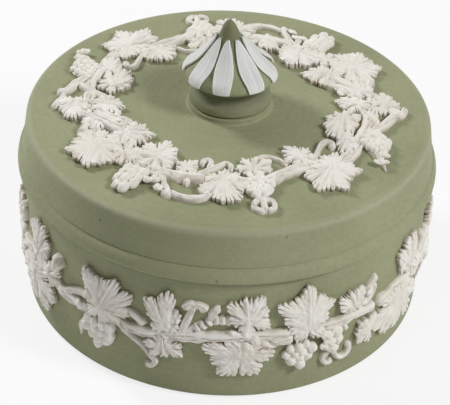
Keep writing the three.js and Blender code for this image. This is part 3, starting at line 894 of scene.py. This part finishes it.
def bunchMesh(band, entry, seed):
    rng = random.Random(seed)
    bm = bmesh.new()
    layer = bm.verts.layers.float.new("recess")
    put = placer(band, entry)
    rows, scale, long = entry["rows"], entry.get("scale", 1), entry.get("long", grape["long"])
    pitch, rowPitch = grape["pitch"] * scale, grape["rowPitch"] * scale * long / grape["long"]
    middle = (len(rows) - 1) * rowPitch / 2
    widest = (max(rows) - 1) * pitch / 2
    besides, beyond = grape["bedMargin"]
    bed = (widest + besides, middle + beyond, grape["bedHeight"])
    addBall(bm, layer, put, (0, 0), bed, grape["bedLift"])
    for row, count in enumerate(rows):
        for i in range(count):
            size = grape["radius"] * scale * rng.uniform(*grape["variation"])
            sideways = i - (count - 1) / 2
            place = (sideways * pitch + aside(rng, grape["shift"]),
                     row * rowPitch - middle + aside(rng, grape["shift"]))
            crown = grape["crown"] * (1 - abs(sideways) / max(1, count / 2))
            lift = grape["lift"] + crown + aside(rng, grape["liftShift"])
            addBall(bm, layer, put, place, (size, size * long, size), lift)
    return bm


# the path runs from a shoot's root to its tip, where the knob makes it swell
def shoot(width, *path, knob=0.12, over=0, pointed=False):
    return {"width": width, "path": path, "knob": knob, "over": over, "pointed": pointed}


# "at" is an angle in degrees and an offset out or up from the band's middle line.
# A lobe is a bearing and a reach.
# The comb is the bearing of a leaf's toothed side, and its veins start at the hub.
wreath["leaves"] = [
    {"at": (185, -4.6), "comb": 120, "hub": (-3, 0.5),
     "lobes": [(-30, 5), (3, 5.2), (60, 4.6), (106, 5.6), (140, 5.2), (195, 5.4), (-120, 5.4), (-78, 6)]},
    {"at": (213, 4.6), "comb": -130, "hub": (1.5, 1.5),
     "lobes": [(-27, 10.2), (20, 8.8), (60, 7), (92, 8.8), (137, 9.6), (162, 8.8), (189, 9.4), (-135, 7.4),
               (-98, 8.2), (-62, 7.4)]},
    {"at": (214.3, -8.4), "comb": 150, "hub": (-3, -1),
     "lobes": [(-16, 6.6), (31, 5), (93, 6), (145, 5), (190, 6.6), (-137, 6.6), (-98, 7.4), (-52, 5.4)]},
    {"at": (235.4, -5.7), "comb": 60, "hub": (-0.3, -1.5), "raised": 0.3,
     "lobes": [(-32, 6.8), (28, 7.3), (64, 6.6), (89, 5.7), (112, 6.7), (142, 7.2), (182, 7), (-139, 6.4),
               (-84, 7)]},
    {"at": (268.5, 0.1), "comb": 170, "hub": (0, 3), "raised": 0.3,
     "lobes": [(-48, 6), (8, 7), (42, 7), (100, 6.8), (138, 8.4), (160, 7.9), (178, 7.5), (-164, 6.6),
               (-115, 7.4)]},
    {"at": (312.8, 2.1), "comb": -130, "hub": (0.5, 2),
     "lobes": [(-20, 7.3), (12, 9.1), (58, 7.8), (83, 9.1), (115, 7), (150, 9.6), (175, 8.2), (-157, 10.2),
               (-116, 8.3), (-70, 6)]},
    {"at": (347.6, -6.9), "comb": -160, "hub": (1, 3.5),
     "lobes": [(-65, 5), (-20, 5.2), (20, 7), (58, 7), (100, 5.4), (150, 6.4), (-172, 9.4), (-150, 8.6),
               (-115, 6)]},
]
wreath["bunches"] = [
    {"at": (235, 6.6), "rows": [3, 3, 3, 2], "heading": -4, "long": 1.4, "scale": 1.08},
    {"at": (282.5, 1.2), "rows": [3, 4, 3, 2], "heading": 0, "long": 1.15},
    {"at": (339.3, 4.9), "rows": [2, 3, 4, 3, 2], "heading": 60},
]
wreath["smallLeaves"] = [
    {"at": (185.7, 5.4), "comb": 175, "hub": (1, 3), "root": (184, 2.4),
     "lobes": [(-30, 7), (20, 6), (95, 5.4), (143, 6), (172, 6.4), (197, 5.6), (250, 4.4)]},
    {"at": (196, -1.8), "comb": 170, "hub": (-1, 2), "root": (201, 2), "raised": 0.2,
     "lobes": [(-62, 5.6), (-15, 4.6), (30, 4.6), (68, 5.4), (100, 6.6), (140, 5.6), (175, 5.2), (210, 6),
               (245, 6)]},
    {"at": (251.8, -5.2), "hub": (0, -2), "root": (252, 0),
     "lobes": [(-50, 4.2), (-15, 3.1), (15, 3.3), (48, 4), (90, 3.4), (140, 4.2), (-140, 4.2), (-90, 3.4)]},
    {"at": (282.5, -7.6), "comb": 60, "hub": (0.3, -2), "root": (284, 0), "stem": 1.8,
     "lobes": [(-42, 4.7), (17, 4.4), (57, 6.4), (105, 6), (150, 4.6), (-153, 4.4), (-104, 5)]},
    {"at": (307.9, -7.8), "comb": -40, "hub": (1.5, -1.5), "root": (310, -2),
     "lobes": [(-42, 6), (-8, 4.6), (36, 4.9), (80, 5.6), (140, 5), (190, 4.6), (-132, 5.4), (-75, 5)]},
    {"at": (225, -1), "comb": 200, "hub": (-1, 1), "root": (225, 1),
     "lobes": [(-60, 5), (0, 4.4), (60, 5), (120, 5.4), (165, 5), (215, 5), (260, 4.6)]},
    {"at": (334.5, -2.6), "comb": 190, "hub": (0.5, 3), "root": (335, 1),
     "lobes": [(-60, 3.4), (20, 4.4), (60, 3.6), (150, 5.8), (178, 6.8), (-158, 6.4), (-125, 4)]},
]
wreath["shoots"] = [
    shoot(1.8, (219, -2.6), (226, -2.8), (231, -2), (236, 0.4)),
    shoot(2.2, (243, 0), (247.5, 4.2), (250.4, 7.2), (250.2, 9.4), knob=0.5),
    shoot(2, (242.5, 1), (243.4, 5.4), knob=0.2),
    shoot(2.1, (251, 7.2), (255, 8), (259, 8), (263, 6.6), (266, 4.4)),
    shoot(1.8, (254.6, 0), (255.3, 3)),
    shoot(1.7, (256, -1), (262, -4.8), (266, -7), (269.2, -8.6), (272, -7.4), (271.8, -5.6)),
    shoot(1.5, (261.5, -5.2), (262.4, -8), (260, -9.3), (257.8, -8), (258.4, -6.4)),
    shoot(1.9, (282.6, 0.6), (282.2, 12.4), knob=0.2),
    shoot(1.2, (284, -9.6), (290, -10.4), (295, -9), (298.6, -5)),
    shoot(1.8, (310.7, -3.4), (317.4, -5.6), (322.6, -6.9), (326.2, -6.7), (326.4, -4.6), (323.2, -3.8)),
    shoot(2.6, (334, 4.6), (331.4, 8.2), (326.6, 13), pointed=True),
    shoot(2, (178.4, 8.4), (182.6, 10), (186.3, 11), knob=0.2),
    shoot(2.8, (339.5, 0.8), (349, 5), (355.6, 7.6), (357.4, 10.2), knob=0.25),
    shoot(2.6, (1.5, -4.4), (356, -0.4), (349.5, 3.6)),
    shoot(1.9, (191.5, 4.4), (198, 0.2), (205.4, -2.6), (211.6, -4.6), over=0.7),
    shoot(1.9, (193.5, 1.8), (200, -2.2), (207, -4.8), (209.8, -7), over=0.9),
    shoot(1.7, (190.8, -1.2), (198, -4.4), (202.6, -7.4), (205.8, -8.4), (206.6, -6.8), (204.6, -6),
          over=0.8),
    shoot(2.6, (199, 2.6), (204.6, 5.6), over=0.3),
]
wreath["lumps"] = [  # angle, offset and radius
    (213.3, 0.9, 1.6), (212.6, -2, 1.4), (217, 1.6, 1.4), (215.6, -1.6, 1.3), (197, -5.8, 1.2),
    (194.6, -7, 1), (199.6, -6.8, 1.1), (333.6, 9.2, 1.3), (329, 9.6, 1.2), (330.4, 10.8, 0.9),
    (280.6, -3.6, 1), (285, -3.4, 1.1), (243.6, 3.6, 1.1), (246.6, 6.2, 1.1), (241.4, 4.6, 1),
    (289.5, -1.8, 1.1), (337, -4, 1.3), (334.6, -1.6, 1.2),
]
wreath["tendrils"] = [
    {"at": (282.2, 11.8), "heading": 76, "length": 9.4, "curl": 250, "width": 1.5},
    {"at": (282.2, 11.8), "heading": -76, "length": 9.4, "curl": -250, "width": 1.5},
    {"at": (192, -2), "heading": 190, "length": 6, "curl": 100, "width": 1.6},
]
wreath["vine"] = [
    (176.3, 0.8), (187, 1.6), (196, 2.2), (205, 1.4), (216, 2.4), (227, 2), (238, 0.8), (250, 0.2),
    (262, -0.8), (273, -0.2), (284, 0.2), (292, -1.4), (301, -2.4), (310, -1.6), (320, 1.6), (329, 1.8),
    (340, 0.6), (349, 0.8), (355.4, 0.6),
]

frieze["leaves"] = [
    {"at": (-152.5, -6.6), "comb": 110, "hub": (1, 5),
     "lobes": [(-100, 14), (-135, 11.8), (-172, 9.6), (138, 11.5), (98, 12.5), (48, 8.5), (-52, 9)]},
    {"at": (-122.3, 2.8), "comb": 5, "hub": (-1.5, -1.5), "raised": 0.3,
     "lobes": [(-32, 12.4), (-4, 9), (21, 11.6), (54, 11.6), (92, 8.8), (128, 7.2), (178, 7.8), (-138, 7.8),
               (-82, 6.6)]},
    {"at": (-104.5, 4), "comb": -30, "hub": (1.5, -4),
     "lobes": [(-70, 5.4), (-42, 9), (6, 11), (52, 6), (130, 5), (-140, 5.4)]},
    {"at": (-84.5, -6.6), "comb": -110, "hub": (0.5, 3.4),
     "lobes": [(-69, 11.4), (-103, 8.4), (-138, 9), (140, 8.8), (84, 10.2), (42, 7.6), (-20, 7.4)]},
    {"at": (-66.5, 5), "comb": -70, "hub": (0, -4.5), "raised": 0.3,
     "lobes": [(-57, 11.2), (-30, 9), (-3, 12), (33, 8.4), (64, 9), (104, 6.6), (152, 9.4), (-158, 8.8),
               (-128, 7), (-92, 7.2)]},
]
frieze["bunches"] = [
    {"at": (-123.8, -8.6), "rows": [4, 4, 3, 1], "heading": 180, "long": 1.3, "scale": 1.15},
    {"at": (-68.4, -8.2), "rows": [3, 4, 3, 1], "heading": 172, "long": 1.2, "scale": 1.1},
]
frieze["smallLeaves"] = [
    {"at": (-149, 8), "hub": (0, -4), "root": (-148, 0),
     "lobes": [(-60, 7.6), (-18, 7.8), (25, 7.4), (70, 6.4), (140, 6), (-140, 6.4)]},
    {"at": (-104.3, -5.3), "comb": 100, "hub": (-0.5, 3), "root": (-104, 0),
     "lobes": [(73, 5.4), (118, 5.9), (178, 4.2), (-136, 6), (-88, 6.3), (-30, 5), (25, 5)]},
    {"at": (-82.6, 8), "hub": (0, -2), "root": (-82, 1),
     "lobes": [(-52, 7.8), (-10, 7), (29, 8.2), (72, 6), (127, 7.8), (-176, 7.4), (-106, 5.8)]},
    {"at": (-52.7, 4.9), "comb": -60, "hub": (1, -3), "root": (-52, 0), "stem": 2.2,
     "lobes": [(-100, 5), (-62, 6), (-18, 5), (38, 5.8), (110, 5), (-150, 5)]},
    {"at": (-166.4, -7.4), "comb": -150, "hub": (3, 3), "root": (-163, -4),
     "lobes": [(-50, 5), (-95, 5), (-140, 6), (172, 6.4), (120, 5), (40, 5)]},
    {"at": (-143, 0.5), "comb": 60, "hub": (-1, 0), "root": (-143, 0),
     "lobes": [(-60, 5.4), (0, 5), (55, 5.6), (110, 5), (180, 4.6), (-120, 5)]},
]
frieze["shoots"] = [
    shoot(3.4, (-144, -1), (-141, 4.6), (-138.3, 9.4), knob=0.3),
    shoot(2.4, (-137, -1.6), (-132, 1.8), (-126, 2)),
    shoot(2.2, (-127, -4), (-130.4, -9.5), (-131.3, -14.4), pointed=True),
    shoot(2.4, (-118, 2.8), (-114, 3.4), (-109.6, 0.6)),
    shoot(1.8, (-117, -3), (-111.4, -6.6), (-108.8, -9.4), (-106.9, -11.6), (-108, -13.6), (-109.8, -13)),
    shoot(2.4, (-101, -1.4), (-98.8, 4.6), (-96.8, 10.9)),
    shoot(2.2, (-95.6, 9.8), (-97.8, 11.2), (-99.8, 9.4), knob=0.25),
    shoot(2.3, (-98, 10.2), (-95.5, 11.2), (-93.4, 9.2), knob=0.25),
    shoot(2.8, (-99.4, -1), (-97.2, 2.6), (-95.2, 5), pointed=True),
    shoot(1.7, (-96.6, 4.4), (-95, 2)),
    shoot(1.8, (-95.2, 5.6), (-93.4, 3)),
    shoot(1.7, (-93.6, 6.8), (-91.8, 4.4)),
    shoot(2.3, (-92.4, 5.8), (-91.7, 9), (-90.2, 11.2), knob=0.2),
    shoot(3, (-77, -0.8), (-73.5, -1.8), (-70, -1.8)),
    shoot(1.7, (-58.4, -9.4), (-60.8, -11.8), (-60.6, -14), (-59.3, -14.8), (-58, -13.8)),
    shoot(1.8, (-57.8, -9.4), (-57, -13), (-55, -14.6), (-52.9, -13.6), (-52.6, -11), (-54, -10.6)),
    shoot(1.6, (-56, -1), (-53.9, -4.6)),
    shoot(2.3, (-50.4, 1.6), (-48.8, 5.2), (-46.6, 8), (-44.4, 10.4), knob=0),
    shoot(2, (-48.6, 1.2), (-46.4, 3.6), (-45.4, 6.4), (-46.2, 8.2), knob=0.25),
    shoot(1.8, (-49, 4.4), (-46.4, 6.8)),
    shoot(1.6, (-90.9, 8), (-90.8, 4.8)),
    shoot(1.7, (-89.4, 8.2), (-89.3, 4.8)),
    shoot(1.6, (-87.9, 8), (-87.8, 4.8)),
    shoot(2.6, (-80, -1.4), (-75.6, -3.6), (-71.6, -2.8), pointed=True),
]
frieze["lumps"] = [
    (-60.4, -3.2, 1.7), (-57.6, -3, 1.8), (-59.5, -6, 1.8), (-57, -6, 1.6), (-58.4, -8.8, 1.7),
    (-61, -7.2, 1.3), (-47.6, 6.4, 1.1), (-49.2, 3.4, 1), (-83.4, 1.6, 1.2), (-81, -0.2, 1.5),
    (-83, -2.6, 1.5), (-86.6, 2.2, 1.1), (-127.4, -4, 1.3), (-130.6, -1.6, 1.3),
]
frieze["tendrils"] = []
frieze["vine"] = [
    (-163.4, -1), (-155, 0), (-146, -1.4), (-137, -2), (-129, -2.2), (-121, -1.4), (-112, -2), (-104, -1),
    (-95, 0), (-87, 0.8), (-80, 0.4), (-73, 0.4), (-65, -0.6), (-57, -0.4), (-50, 0), (-44.1, -1),
]


def drawn(band, points):
    return [band["flat"](*p) for p in points]


def joined(meshes):
    whole = bmesh.new()
    for bm in meshes:
        mesh = bpy.data.meshes.new("part")
        bm.to_mesh(mesh)
        bm.free()
        whole.from_mesh(mesh)
        bpy.data.meshes.remove(mesh)
    return whole


# small lumps of clay among the leaves and shoots
lump = {
    "shape": (1.05, 1.35, 0.6),  # half its width, length and height, as shares of its radius
    "lift": 1.45,
    "rough": 0.24,
    "turn": 7,  # times its angle, so that they lie every way
}


def vineMesh(band, plans, small):
    parts = [strandMesh(band, plans, drawn(band, band["vine"]), strand["vineWidth"],
                        strand["vineHeight"], grooves=strand["vineGrooves"])]
    for entry, plan in zip(band["smallLeaves"], small):
        parts.append(leafMesh(band, plan, leaf["smallFineness"]))
        parts.append(strandMesh(band, plans, drawn(band, [entry["root"], entry["at"]]),
                                entry.get("stem", band["stem"]), strand["shootHeight"]))
    for i, entry in enumerate(band["shoots"]):
        height = max(strand["shootHeight"], entry["width"] * strand["shootRise"]) + entry["over"]
        parts.append(strandMesh(band, [] if entry["over"] else plans, drawn(band, entry["path"]),
                                entry["width"], height, knob=entry["knob"], pointed=entry["pointed"],
                                seed=i))
    for i, entry in enumerate(band["tendrils"]):
        parts.append(strandMesh(band, plans, curlPoints(band, entry), entry["width"], strand["shootHeight"],
                                knob=strand["tendrilKnob"], seed=i))
    lumps = bmesh.new()
    layer = lumps.verts.layers.float.new("recess")
    for angle, offset, radius in band["lumps"]:
        put = placer(band, {"at": (angle, offset), "heading": angle * lump["turn"]})
        addBall(lumps, layer, put, (0, 0), [radius * share for share in lump["shape"]],
                lump["lift"], lump["rough"])
    return joined(parts + [lumps])


# moves a repeat off the first one's pattern, along the dome
def layByHand(bm, offsets):
    for vert in bm.verts:
        turn = (atan2(vert.co.y, vert.co.x) * 180 / pi + 90) % 360 - 90
        for (start, low), (end, high) in zip(offsets, offsets[1:]):
            if start <= turn <= end:
                before = domeHeight(hypot(vert.co.x, vert.co.y))
                vert.co += Vector(low).lerp(Vector(high), (turn - start) / (end - start)).to_3d()
                vert.co.z += domeHeight(hypot(vert.co.x, vert.co.y)) - before
                break


def pressSprigs(name, band):
    large = [leafPlan(band, entry, i) for i, entry in enumerate(band["leaves"])]
    small = [leafPlan(band, entry, 50 + i) for i, entry in enumerate(band["smallLeaves"])]
    models = [("vine", vineMesh(band, large + small, small))]
    models += [(f"leaf_{i + 1}", leafMesh(band, plan)) for i, plan in enumerate(large)]
    models += [(f"grapes_{i + 1}", bunchMesh(band, entry, i)) for i, entry in enumerate(band["bunches"])]
    for turn in range(band["repeats"]):
        turning = Matrix.Rotation(2 * pi * turn / band["repeats"], 3, "Z")
        for kind, model in models:
            bm = model.copy()
            bmesh.ops.rotate(bm, cent=(0, 0, 0), matrix=turning, verts=bm.verts)
            if turn and band["handLaid"]:
                layByHand(bm, band["handLaid"])
            finishPiece(f"sprig_{name}_{turn + 1}_{kind}", bm, relief, band["body"],
                        [f"{name}_{turn + 1}_{kind}"], sharp=60)
    for kind, model in models:
        model.free()


pressSprigs("wreath", wreath)
print("wreath is pressed")
pressSprigs("frieze", frieze)
print("frieze is pressed")
